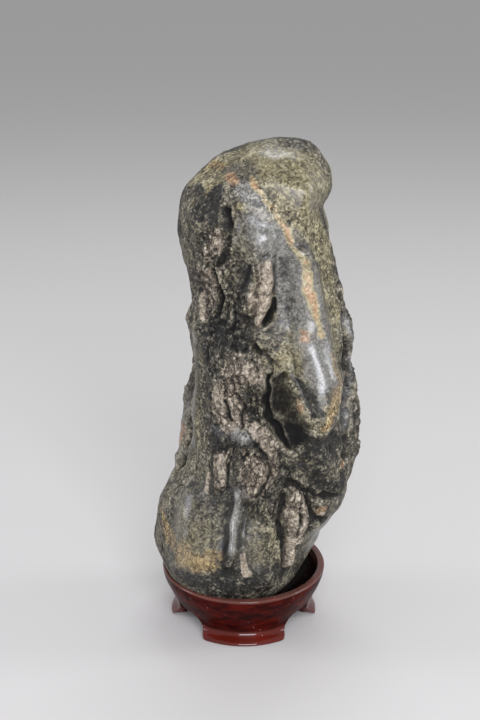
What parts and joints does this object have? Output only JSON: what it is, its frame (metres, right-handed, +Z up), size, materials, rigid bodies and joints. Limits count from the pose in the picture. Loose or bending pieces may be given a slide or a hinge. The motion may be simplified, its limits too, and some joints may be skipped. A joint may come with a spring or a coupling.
{
  "type": "scholar's rock on a wooden stand",
  "caption": "Tall waxed dark stone with a rounded head, clefts and flaking plates, resting in an oval carved and lacquered wooden stand with skirt-like feet.",
  "frame": {"origin": "on the floor plane, under the centre of the whole object's box; the stand's own axis is 6.1 mm left of it and 1.7 mm behind it", "axes": "+Z up along the stone, -Y to the front, where the long smooth ridge is, +X to the right"},
  "size_m": [0.0986, 0.0969, 0.2298],
  "materials": {
    "waxed_stone": "waxed and hand polished on the rounded parts, matt where it flakes",
    "lacquered_wood": "dark red-brown gloss lacquer over carved wood"
  },
  "bodies": {
    "root": {"stone": "waxed_stone", "stand": "lacquered_wood"}
  },
  "joints": []
}
